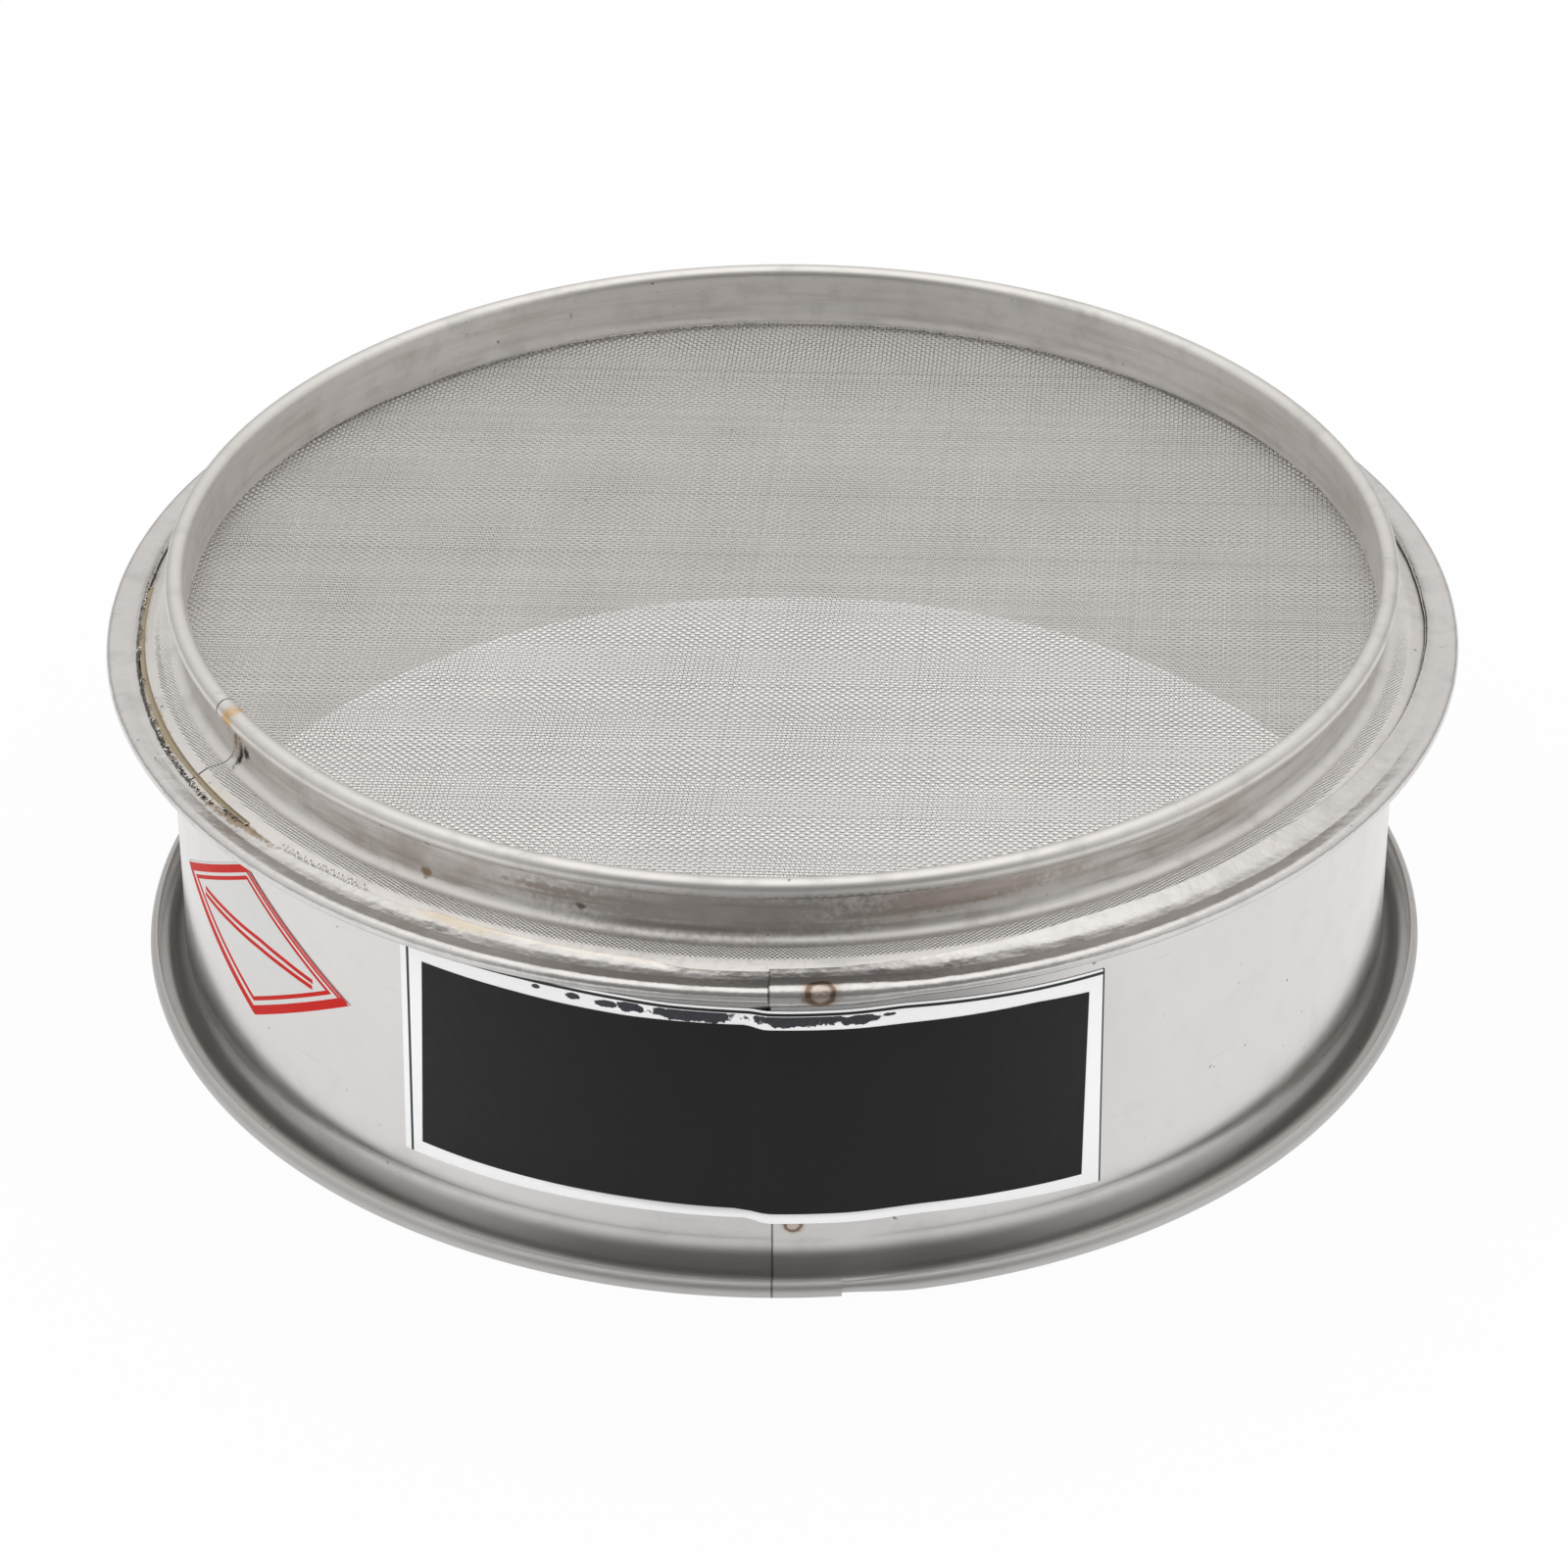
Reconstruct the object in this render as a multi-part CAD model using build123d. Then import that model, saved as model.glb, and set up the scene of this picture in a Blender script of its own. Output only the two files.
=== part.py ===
from build123d import *
import os
from math import cos, degrees, radians, sin, tan

# Drum sieve of folded stainless sheet, in millimetres, +Z up.
# It stands on its rolled mouth, with the wire cloth and the nesting skirt on top.
# The origin is the centre of the circle that it stands on, and its lap seam faces -Y.
# Angles on the wall are counted from the seam side, positive towards +X.

# Drum wall
drum_radius = 100.0
drum_sheet = 0.5

# Flared mouth that the drum stands on
flare_height = 6.0
flare_reach = 2.45
flare_bend = 10.0
land_bend = 2.5
lip_reach = 6.2
lip_roll = 1.35
lip_curl_turn = 75.0
lip_flat = 0.05
lip_edge = 0.1

# Clamping flange and folded hem under the cloth
seat_height = 59.15
ridge_bend = 1.0
steep_fall = 22.8
shallow_fall = 7.1
knee_reach = 4.0
knee_bend = 4.0
hem_reach = 9.33
hem_roll = 0.95
hem_flat = 0.35
strip_reach = 3.8
strip_dip = 3.0
strip_bend = 2.0
hem_clearance = 0.05

# Wire cloth
cloth_thickness = 0.45
cloth_tuck = 1.9
cloth_turn = -4.0
wire_diameter = 0.26
wire_pitch = 0.75
net_pitch = 10.0
net_margin = 1.5

# Skirt ring
skirt_sheet = 0.5
skirt_height = 11.8
skirt_roll = 1.35
roll_flat = 0.04
roll_edge = 0.05
foot_bend = 2.0
nest_clearance = 0.2
skirt_tuck = 1.8
skirt_joint_angle = -61.2
skirt_joint_gap = 0.3

# Lap of the drum's one sheet
lap_edge_place = -2.1
lap_width = 10.0
lap_ease = 12.0
lap_gap = 0.05
ease_sections = 5

# Welds and solder
wall_weld_radius = 1.7
wall_weld_height = 11.3
wall_weld_place = 1.0
hem_weld_radius = 1.2
hem_weld_place = 4.8
joint_weld_proud = 0.3
joint_weld_inset = 1.7
solder_width = 0.8
solder_height = 0.4
solder_gap = 0.04
solder_bulge = 0.08
solder_start_angle = -94.0
solder_end_angle = -52.0

# Labels on the wall
glue_gap = 0.05
foil_width = 112.0
foil_height = 39.0
foil_thickness = 0.1
foil_place = -5.6
foil_middle_height = 29.5
foil_turn = 1.4
foil_ramp = 4.0
border_side = 3.0
border_end = 2.6
panel_gap = 0.02
panel_thickness = 0.06
sticker_width = 54.6
sticker_height = 28.0
sticker_thickness = 0.1
sticker_angle = -57.1
sticker_middle_height = 31.7
sticker_turn = 4.0

# One overrun for all cuts
overrun = 5.0

# Places that follow from the sizes
wall_middle = drum_radius - drum_sheet / 2
layer_step = drum_sheet + lap_gap
seat_ridge = wall_middle + ridge_bend + (ridge_bend + drum_sheet / 2) * tan(radians(steep_fall / 2))
knee_radius = drum_radius + knee_reach
knee_height = seat_height - (knee_radius - seat_ridge) * tan(radians(steep_fall))
strip_radius = drum_radius + strip_reach
hem_middle = drum_radius + hem_reach - drum_sheet / 2
lip_middle = drum_radius + lip_reach - drum_sheet / 2
bore_radius = drum_radius - drum_sheet
skirt_roll_outside = bore_radius - nest_clearance
skirt_roll_middle = skirt_roll_outside - skirt_sheet / 2
skirt_wall_middle = skirt_roll_middle - 2 * skirt_roll - roll_flat
skirt_top = seat_height + cloth_thickness + skirt_height
foot_middle = cloth_thickness + skirt_sheet / 2
foot_top = cloth_thickness + skirt_sheet
strip_middle = foot_top + hem_clearance + drum_sheet / 2


def wall_angle(place):
    """Angle of a place that is measured along the drum wall from the seam side."""
    return degrees(place / drum_radius)


def on_wall(angle, radius):
    """Point in plan at an angle from the seam side."""
    return Vector(radius * sin(radians(angle)), -radius * cos(radians(angle)))


def parallel(points, distance):
    """Corners of a line that runs beside another one, to its left."""
    steps = [(b - a).normalized() for a, b in zip(points, points[1:])]
    sides = [Vector(-step.Y, step.X) for step in steps]
    before = [sides[0], *sides]
    after = [*sides, sides[-1]]
    return [p + (a + b) * (distance / (1 + a.dot(b))) for p, a, b in zip(points, before, after)]


def bent_line(points, bends, distance=0):
    """A sheet's line with its corners rounded, drawn beside the given corners."""
    steps = [b - a for a, b in zip(points, points[1:])]
    turns = [a.X * b.Y - a.Y * b.X for a, b in zip(steps, steps[1:])]
    radii = [bend - distance if turn > 0 else bend + distance for bend, turn in zip(bends, turns)]
    return FilletPolyline(*parallel(points, distance), radius=radii)


def sheet_section(points, bends, thickness, shift=0):
    """Section of a bent sheet, whose middle lies beside the given corners."""
    left = bent_line(points, bends, shift + thickness / 2)
    right = bent_line(points, bends, shift - thickness / 2)
    return make_face([left, Line(left @ 1, right @ 1), right, Line(right @ 0, left @ 0)])


def ring(section, start=0, turn=360):
    """A section turned about the axis, from an angle counted from the seam side."""
    return Rot(0, 0, start - 90) * revolve(Plane.XZ * section, Axis.Z, turn)


def on_seat(radius, level):
    """Point at a radius on a layer that lies a level above the clamping flange."""
    corners = parallel(seat_line(), level)
    inner, outer = (corners[0], corners[1]) if radius < corners[1].X else (corners[1], corners[2])
    share = (radius - inner.X) / (outer.X - inner.X)
    return inner + (outer - inner) * share


def seat_line():
    """Top of the clamping flange, from its ridge over the knee to the hem's bead."""
    fall = (hem_middle - knee_radius) * tan(radians(shallow_fall))
    return [
        Vector(seat_ridge, seat_height),
        Vector(knee_radius, knee_height),
        Vector(hem_middle, knee_height - fall),
    ]


def drum_line():
    """Middle of the drum's sheet from the hem's cut edge to the lip's, with its bends."""
    flange = parallel(seat_line(), -drum_sheet / 2)
    rise = (flange[1].X - wall_middle) * tan(radians(steep_fall))
    bead_bottom = on_seat(hem_middle, -drum_sheet / 2)
    bead_top = bead_bottom + Vector(0, 2 * hem_roll + hem_flat)
    land = drum_sheet / 2
    lip_tangent = lip_roll * tan(radians(lip_curl_turn / 2))
    lip_top = Vector(lip_middle, land + lip_roll + lip_flat + lip_tangent)
    curl = radians(90 + lip_curl_turn)
    lip_end = lip_top + Vector(cos(curl), sin(curl)) * (lip_tangent + lip_edge)
    points = [
        on_seat(strip_radius, strip_middle),
        on_seat(hem_middle - strip_dip, strip_middle),
        bead_top,
        bead_bottom,
        flange[1],
        Vector(wall_middle, flange[1].Y + rise),
        Vector(wall_middle, flare_height),
        Vector(wall_middle + flare_reach, land),
        Vector(lip_middle, land),
        lip_top,
        lip_end,
    ]
    hem_bends = [strip_bend, hem_roll, hem_roll, knee_bend - drum_sheet / 2, ridge_bend]
    mouth_bends = [flare_bend, land_bend, lip_roll, lip_roll]
    return points, hem_bends + mouth_bends


def ease_rise(share):
    """How far the lapped sheet still stands off the drum's circle along its ease."""
    return layer_step * (1 - share * share * (3 - 2 * share))


lap_start = wall_angle(lap_edge_place)
lap_end = wall_angle(lap_edge_place + lap_width)
ease_end = wall_angle(lap_edge_place + lap_width + lap_ease)
ease_shares = [count / ease_sections for count in range(ease_sections + 1)]


def ease_angle(share):
    """Angle of a place along the ease, from the lap to the drum's circle."""
    return lap_end + (ease_end - lap_end) * share


def lap_ease_piece():
    """The stretch where the outer end of the sheet steps in to the drum's circle."""
    points, bends = drum_line()
    sections = []
    for share in ease_shares:
        section = Plane.XZ * sheet_section(points, bends, drum_sheet, ease_rise(share))
        sections.append(Rot(0, 0, ease_angle(share) - 90) * section)
    return loft(sections, ruled=True)


def lap_block():
    """Both layers of the lap with the gap between them, as the spot welds fill it."""
    points, bends = drum_line()
    section = sheet_section(points, bends, drum_sheet + layer_step, layer_step / 2)
    return ring(section, lap_start, lap_end - lap_start)


def weld_pin(place, radius, height, depth, out):
    """A round bar that points out of the wall where the lap is spot welded."""
    angle = wall_angle(place)
    outward = on_wall(angle, out)
    middle = on_wall(angle, depth)
    face = Plane(origin=(middle.X, middle.Y, height), z_dir=(outward.X, outward.Y, 0))
    return face * Cylinder(radius, 2 * out, align=(Align.CENTER, Align.CENTER, Align.MIN))


def weld_pins():
    """The places of the two spot welds: through the wall and through the hem's bead."""
    bead = on_seat(hem_middle, -drum_sheet / 2).Y + hem_roll + hem_flat / 2
    wall_pin = weld_pin(wall_weld_place, wall_weld_radius, wall_weld_height, drum_radius - overrun, overrun)
    hem_pin = weld_pin(hem_weld_place, hem_weld_radius, bead, hem_middle - hem_roll, overrun)
    return [wall_pin, hem_pin]


def drum_shell():
    """The drum's one sheet, lapped at the seam, with the spot welds' places open."""
    points, bends = drum_line()
    inner = ring(sheet_section(points, bends, drum_sheet), ease_end, 360 + lap_end - ease_end)
    outer = ring(sheet_section(points, bends, drum_sheet, layer_step), lap_start, lap_end - lap_start)
    shell = inner + lap_ease_piece() + outer
    for pin in weld_pins():
        shell = shell - pin
    return shell


def seam_welds():
    """The two spot welds that join the layers of the lap."""
    block = lap_block()
    return [block & pin for pin in weld_pins()]


def skirt_line():
    """Middle of the skirt's sheet from the bead's cut edge to the foot's, with its bends."""
    roll_top = skirt_top - skirt_sheet / 2
    roll_bottom = roll_top - 2 * skirt_roll - roll_flat
    foot = parallel(seat_line(), foot_middle)
    points = [
        Vector(skirt_roll_middle - skirt_roll - roll_edge, roll_bottom),
        Vector(skirt_roll_middle, roll_bottom),
        Vector(skirt_roll_middle, roll_top),
        Vector(skirt_wall_middle, roll_top),
        Vector(skirt_wall_middle, seat_height + foot_middle),
        Vector(foot[0].X, seat_height + foot_middle),
        foot[1],
        on_seat(hem_middle - skirt_tuck, foot_middle),
    ]
    ridge = ridge_bend + drum_sheet / 2 + foot_middle
    bends = [skirt_roll, skirt_roll, skirt_roll, foot_bend, ridge, knee_bend - foot_middle]
    return points, bends


def skirt_ring():
    """The skirt's rolled ring, open at its own joint."""
    points, bends = skirt_line()
    gap = degrees(skirt_joint_gap / skirt_wall_middle)
    return ring(sheet_section(points, bends, skirt_sheet), skirt_joint_angle + gap / 2, 360 - gap)


def skirt_joint_weld(skirt):
    """The weld run that closes the skirt's joint, proud on both faces of the wall."""
    low = seat_height + foot_middle + foot_bend + joint_weld_proud
    high = skirt_top - 2 * skirt_roll - joint_weld_inset
    radius = skirt_sheet / 2 + joint_weld_proud
    middle = on_wall(skirt_joint_angle, skirt_wall_middle)
    foot = Pos(middle.X, middle.Y, low)
    run = foot * Cylinder(radius, high - low, align=(Align.CENTER, Align.CENTER, Align.MIN))
    for end in (low, high):
        run = run + Pos(middle.X, middle.Y, end) * Sphere(radius)
    return run - skirt


def cloth_net(net_radius):
    """The open middle of the cloth as one holed face."""
    gap = net_pitch * (1 - wire_diameter / wire_pitch)
    count = int(net_radius / net_pitch) + 1
    corner = gap / 2 * 2 ** 0.5
    steps = [net_pitch * step for step in range(-count, count + 1)]
    places = [Vector(x, y) for x in steps for y in steps]
    inside = [place for place in places if place.length + corner < net_radius - net_margin]
    gaps = Sketch() + [Pos(place.X, place.Y) * Rectangle(gap, gap) for place in inside]
    net = Circle(net_radius) - Rot(0, 0, cloth_turn) * gaps
    return Pos(0, 0, seat_height) * extrude(net, cloth_thickness)


def wire_cloth():
    """The cloth: its open middle and the closed margin that the hem clamps."""
    net_radius = skirt_wall_middle - foot_bend
    margin = parallel(seat_line(), cloth_thickness / 2)
    points = [
        Vector(net_radius, seat_height + cloth_thickness / 2),
        Vector(margin[0].X, seat_height + cloth_thickness / 2),
        margin[1],
        on_seat(hem_middle - cloth_tuck, cloth_thickness / 2),
    ]
    bends = [ridge_bend + drum_sheet / 2 + cloth_thickness / 2, knee_bend - cloth_thickness / 2]
    return cloth_net(net_radius) + ring(sheet_section(points, bends, cloth_thickness))


def solder_seal():
    """The solder run in the crevice between the hem's cut edge and the skirt's foot."""
    along = Vector(cos(radians(steep_fall)), -sin(radians(steep_fall)))
    up = Vector(-along.Y, along.X)
    edge = on_seat(strip_radius, strip_middle) - along * solder_gap
    corner = edge - up * (strip_middle - foot_top - solder_gap)
    toe = corner - along * solder_width
    top = corner + up * solder_height
    crown = (toe + top) / 2 + (up - along).normalized() * solder_bulge
    section = make_face([Line(corner, toe), ThreePointArc(toe, crown, top), Line(top, corner)])
    return ring(section, solder_start_angle, solder_end_angle - solder_start_angle)


def label_line(lift, start, end):
    """Plan of a label's face on the wall, which climbs over the lap."""
    low = drum_radius + lift
    high = low + layer_step
    ramp = wall_angle(lap_edge_place - foil_ramp)
    climb = Spline(
        [on_wall(ramp, low), on_wall(lap_start, high)],
        tangents=[on_wall(ramp + 90, low), on_wall(lap_start + 90, high)],
    )
    fall = Spline(
        [on_wall(ease_angle(share), low + ease_rise(share)) for share in ease_shares],
        tangents=[on_wall(lap_end + 90, high), on_wall(ease_end + 90, low)],
    )
    return Wire([
        *ThreePointArc(on_wall(start, low), on_wall((start + ramp) / 2, low), on_wall(ramp, low)).edges(),
        *climb.edges(),
        *ThreePointArc(climb @ 1, on_wall((lap_start + lap_end) / 2, high), fall @ 0).edges(),
        *fall.edges(),
        *ThreePointArc(fall @ 1, on_wall((ease_end + end) / 2, low), on_wall(end, low)).edges(),
    ])


def label_block(lift, thickness, width, height):
    """A label on the front of the wall, cut from its curved sheet."""
    middle = wall_angle(foil_place)
    reach = wall_angle(width / 2 + overrun)
    inner = label_line(lift, middle - reach, middle + reach)
    outer = label_line(lift + thickness, middle - reach, middle + reach)
    plan = make_face([inner, Line(inner @ 1, outer @ 1), outer, Line(outer @ 0, inner @ 0)])
    sheet = Pos(0, 0, foil_middle_height - height) * extrude(plan, 2 * height)
    chord = 2 * drum_radius * sin(width / 2 / drum_radius)
    cutter = extrude(Rectangle(chord, height), drum_radius + overrun)
    return sheet & wall_cutter(middle, foil_middle_height, foil_turn) * cutter


def wall_cutter(angle, height, turn):
    """Plane through the axis that looks out at a place on the wall, turned clockwise."""
    outward = on_wall(angle, drum_radius)
    sideways = on_wall(angle + 90, drum_radius)
    plane = Plane(origin=(0, 0, height), x_dir=(sideways.X, sideways.Y, 0), z_dir=(outward.X, outward.Y, 0))
    return plane * Rot(0, 0, -turn)


def nameplate_foil():
    """The label's silver foil."""
    return label_block(glue_gap, foil_thickness, foil_width, foil_height)


def nameplate_panel():
    """The label's dark face, inside the foil's border."""
    width = foil_width - 2 * border_side
    height = foil_height - 2 * border_end
    return label_block(glue_gap + foil_thickness + panel_gap, panel_thickness, width, height)


def inspection_sticker():
    """The diamond sticker on the left of the wall."""
    inner = drum_radius + glue_gap
    outer = inner + sticker_thickness
    tall = sticker_height + overrun
    band = Pos(0, 0, sticker_middle_height) * (Cylinder(outer, tall) - Cylinder(inner, tall))
    across = drum_radius * sin(sticker_width / 2 / drum_radius)
    up = sticker_height / 2
    diamond = make_face(Polyline((-across, 0), (0, -up), (across, 0), (0, up), close=True))
    cutter = extrude(diamond, outer + overrun)
    return band & wall_cutter(sticker_angle, sticker_middle_height, -sticker_turn) * cutter


def solids_of(shape):
    """All the separate solids in a shape or a list of shapes."""
    if isinstance(shape, (list, tuple)):
        return [solid for item in shape for solid in solids_of(item)]
    return list(shape.solids())


def main():
    skirt = skirt_ring()
    nodes = {
        "drum_shell": drum_shell(),
        "skirt_ring": skirt,
        "wire_cloth": wire_cloth(),
        "seam_welds": seam_welds(),
        "skirt_joint_weld": skirt_joint_weld(skirt),
        "solder_seal": solder_seal(),
        "nameplate_foil": nameplate_foil(),
        "nameplate_panel": nameplate_panel(),
        "inspection_sticker": inspection_sticker(),
    }
    os.makedirs("parts", exist_ok=True)
    for name, shape in nodes.items():
        export_step(Compound(children=solids_of(shape)), f"parts/{name}.step")


main()
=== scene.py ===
from math import cos, degrees, pi, radians, sin, tan

import bmesh
import bpy
import numpy as np
from mathutils import Matrix, Vector


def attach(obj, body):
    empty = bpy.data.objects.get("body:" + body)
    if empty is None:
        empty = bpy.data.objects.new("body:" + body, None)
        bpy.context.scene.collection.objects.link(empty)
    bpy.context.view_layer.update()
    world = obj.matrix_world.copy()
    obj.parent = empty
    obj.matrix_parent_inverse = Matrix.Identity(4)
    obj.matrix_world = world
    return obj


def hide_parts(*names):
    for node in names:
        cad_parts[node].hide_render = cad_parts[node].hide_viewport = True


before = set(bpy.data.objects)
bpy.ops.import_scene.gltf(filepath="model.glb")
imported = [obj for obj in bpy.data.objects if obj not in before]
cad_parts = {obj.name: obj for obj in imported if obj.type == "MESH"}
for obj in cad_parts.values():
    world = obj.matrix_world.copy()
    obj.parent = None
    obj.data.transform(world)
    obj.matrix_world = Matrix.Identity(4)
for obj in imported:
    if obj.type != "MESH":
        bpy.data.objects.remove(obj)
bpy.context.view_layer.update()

# A drum sieve of folded stainless sheet, standing on its rolled mouth.
# Sizes are in millimetres until a mesh is made, and angles are in degrees.
# Angles round the drum are counted from the lap seam at the front, positive towards +X.
MM = 0.001

# Drum wall and rolled mouth
drum_radius = 100.0
drum_sheet = 0.5
flare_height = 5.5
flare_reach = 2.45
flare_bend = 8.0
land_bend = 2.5
lip_reach = 6.2
lip_roll = 1.35
lip_curl_turn = 75.0
lip_flat = 0.05
lip_edge = 0.1

# Clamping flange and folded hem
seat_height = 59.15
ridge_bend = 1.0
steep_fall = 22.8
shallow_fall = 7.1
knee_reach = 4.0
knee_bend = 4.0
hem_reach = 9.33
hem_roll = 0.95
hem_flat = 0.35
strip_dip = 3.0
strip_bend = 2.0
hem_clearance = 0.05

# Skirt ring
skirt_sheet = 0.5
skirt_height = 11.8
skirt_roll = 1.35
roll_flat = 0.04
roll_edge = 0.05
foot_bend = 3.0
nest_clearance = 0.2
skirt_tuck = 1.8
skirt_joint_angle = -61.2
skirt_joint_gap = 0.3

# Lap of the drum's one sheet
lap_edge_place = -2.1
lap_width = 10.0
lap_ease = 12.0
lap_gap = 0.05
layer_step = drum_sheet + lap_gap

# Wire cloth
cloth_thickness = 0.45
wire_diameter = 0.24
wire_pitch = 0.75
weave_radius = 98.6
weft_turn = -3.0
warp_turn = -5.2
wire_corner = 0.56 * wire_diameter
wire_drift = 0.01
stray_drift = 0.03
stray_share = 0.03
middle_band = 44

# Frayed wires on the left: two angles, and a count between them or a step for the neat row
LONG_FRAY = (-98, -52, 90)
THICK_FRAY = (-69, -55, 130)
NEAT_ROW = (-47, -37, 0.42)
fray_root = 0.55
fray_out, fray_lift = (0.1, 0.75), (0.1, 0.8)
neat_out, neat_lift = 0.75, 0.5
# A stray wire on the foot: radius, height and angle at its start, and how far each runs and bends
STRAY_WIRE = ((104.7, 59.35, -64.3), (2.5, 0.0, -1.1), (0.0, 0.75, 0.25))

# Hand work: how far the sheets bow or sag, and how ragged the hem's cut edge is
wall_bow = 0.12
hem_sag = 0.12
lip_sag = 0.10
skirt_sag = 0.15
edge_wave = 0.10
edge_jag = 0.06

# Places that follow from the sizes
wall_middle = drum_radius - drum_sheet / 2
seat_ridge = wall_middle + ridge_bend + (ridge_bend + drum_sheet / 2) * tan(radians(steep_fall / 2))
knee_radius = drum_radius + knee_reach
knee_height = seat_height - (knee_radius - seat_ridge) * tan(radians(steep_fall))
hem_middle = drum_radius + hem_reach - drum_sheet / 2
lip_middle = drum_radius + lip_reach - drum_sheet / 2
bore_radius = drum_radius - drum_sheet
skirt_roll_middle = bore_radius - nest_clearance - skirt_sheet / 2
skirt_wall_middle = skirt_roll_middle - 2 * skirt_roll - roll_flat
skirt_top = seat_height + cloth_thickness + skirt_height
foot_middle = cloth_thickness + skirt_sheet / 2
foot_top = cloth_thickness + skirt_sheet
strip_middle = foot_top + hem_clearance + drum_sheet / 2
cut_bevel = 0.08
lap_start = degrees(lap_edge_place / drum_radius)
lap_end = degrees((lap_edge_place + lap_width) / drum_radius)
ease_end = degrees((lap_edge_place + lap_width + lap_ease) / drum_radius)

# Hem's cut edge as the hand left it: angle, then radius or lift off the skirt's foot
STRIP_EDGE = ((-180, 103.9), (-110, 103.9), (-87, 103.8), (-69, 104.8), (-58.4, 105.2), (-51.6, 104.0),
              (-42.3, 103.55), (-32.9, 103.3), (-29.8, 102.5), (-17.9, 102.85), (-11.2, 103.1),
              (-7.9, 104.0), (4.7, 104.0), (11.2, 102.9), (14.6, 102.5), (25.2, 101.6), (46.8, 101.6),
              (62, 102.8), (87, 104.1), (120, 103.9), (180, 103.9))
STRIP_LIFT = ((-180, 0.05), (-120, 0.05), (-95, 0.3), (-62, 0.35), (-52, 0.1), (-30, 0.0), (50, 0.0),
              (66, 0.3), (104, 0.3), (125, 0.05), (180, 0.05))

# Nameplate: its corners' angles from the upper left down and round, and its edges as angle and height
FOIL_ENDS = (-35.15, -35.74, 28.79, 28.55)
FOIL_TOP = ((-35.15, 50.8), (-30.7, 51.1), (-23, 51.1), (-18.6, 50.95), (-13.6, 50.6), (-10, 50.25),
            (-4.7, 50.15), (0.25, 49.95), (9.9, 49.9), (22, 48.85), (28.79, 48.45))
FOIL_LOW = ((-35.74, 11.3), (-25, 11.3), (-13.9, 11.5), (-3.6, 11.45), (-2.2, 10.75), (12, 10.65),
            (15.3, 10.4), (18.9, 10.1), (22.7, 9.6), (28.79, 8.71))
PANEL_ENDS = (-32.87, -33.81, 26.84, 27.05)
PANEL_TOP = ((-32.87, 47.9), (-24, 47.7), (-13.4, 47.15), (-3.4, 47.15), (-2.0, 46.6), (4.9, 46.46),
             (15, 46.1), (22, 45.86), (27.05, 45.1))
PANEL_LOW = ((-33.81, 13.75), (-28.7, 13.6), (-13.9, 13.44), (-4.5, 13.2), (-2.3, 12.6), (12, 12.5),
             (18.9, 12.0), (26.84, 11.25))
glue = 0.05
foil_thickness = 0.1
panel_gap = 0.02
panel_thickness = 0.06
label_ease = 2.0

# Sticker: corners as angle and height, and its printed lines as shares of its sides
STICKER = ((-72.73, 30.5), (-56.5, 46.85), (-41.6, 33.3), (-56.63, 17.8))
STICKER_BARS = ((0.0, 1.0, 0.012, 0.066), (0.0, 0.06, 0.04, 0.99), (0.006, 0.99, 0.937, 0.999),
                (0.958, 0.977, 0.03, 0.96), (0.983, 0.999, 0.02, 0.98),
                (0.096, 0.935, 0.088, 0.114), (0.098, 0.132, 0.1, 0.895), (0.1, 0.935, 0.878, 0.906),
                (0.914, 0.937, 0.1, 0.895))
STICKER_DIAGONALS = (((-66.5, 31.88), (-61.75, 32.92), (-54.64, 34.15), (-50.75, 34.1), (-46.5, 33.68)),
                     ((-66.7, 30.58), (-60.5, 31.75), (-54.75, 32.47), (-50.84, 32.61), (-46.6, 32.5)))
diagonal_width = 0.8
sticker_thickness = 0.06
sticker_jag = 0.25
ink_thickness = 0.02

# Steps of the meshes
lap_step = 0.3
far_steps = 390
inner_lap_steps = 14
skirt_steps = 420
plate_steps = (150, 24)
sticker_steps = 50
line_steps = 40

# Kept distances from the hem's cut edge start from RIM_BASE, so that all else reads far from it
RIM_BASE = 1000.0
# A reach that takes in everything, for a stain or a painted mark
ANY = 1e4

# Where the sheets' looks change: heights and radii at which each change starts and ends
WORN_UP = (seat_height - 4, seat_height - 3)
HEM_UP, HEM_OUT = (seat_height - 4, seat_height - 2.5), (drum_radius + 0.4, drum_radius + 1.0)
STRIP_UP, STRIP_OUT = (seat_height - 3.5, seat_height - 2.5), (drum_radius + 0.6, drum_radius + 1.2)
FLARE_DOWN, LIP_DOWN, LIP_OUT = (6.5, 4.5), (5.0, 3.5), (103.8, 104.8)
HOLLOW_DOWN, HOLLOW_IN = (7.0, 4.5), (104.9, 104.1)
DULL_DOWN, DULL_OUT = (5.0, 4.0), (104.4, 104.9)
PRINT_DOWN, PRINT_OUT, PRINT_IN = (seat_height + 3, seat_height + 2), (98.7, 99.3), (101.7, 101.1)
SMEAR_UP, SMEAR_DOWN, SMEAR_IN = (seat_height + 1.5, seat_height + 2.5), (69.2, 68.2), (98.6, 97.8)
INSIDE_DOWN, INSIDE_IN = (seat_height + 1.9, seat_height + 1.0), (96.6, 96.3)
# And distances along the wall, from the seam side or the lap's cut edge
PRINT_ENDS, SMEAR_SHADE_FRONT, CUT_NEAR = (155, 125), (120, 50), (0.22, 0.1)


def wall_place(angle):
    """Distance along the wall from the seam side to an angle."""
    return angle * pi / 180 * drum_radius


# Sections: a point of a sheet's line is its radius plus its height times 1j

def smooth(share):
    """A share from 0 to 1, eased at both ends."""
    share = np.clip(share, 0.0, 1.0)
    return share * share * (3.0 - 2.0 * share)


def parallel(points, distance):
    """Corners of a line that runs beside another one, to its left."""
    steps = np.diff(points)
    sides = steps / abs(steps) * 1j
    before = np.concatenate((sides[:1], sides))
    after = np.concatenate((sides, sides[-1:]))
    return points + (before + after) * distance / (1 + (before * after.conj()).real)


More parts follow.
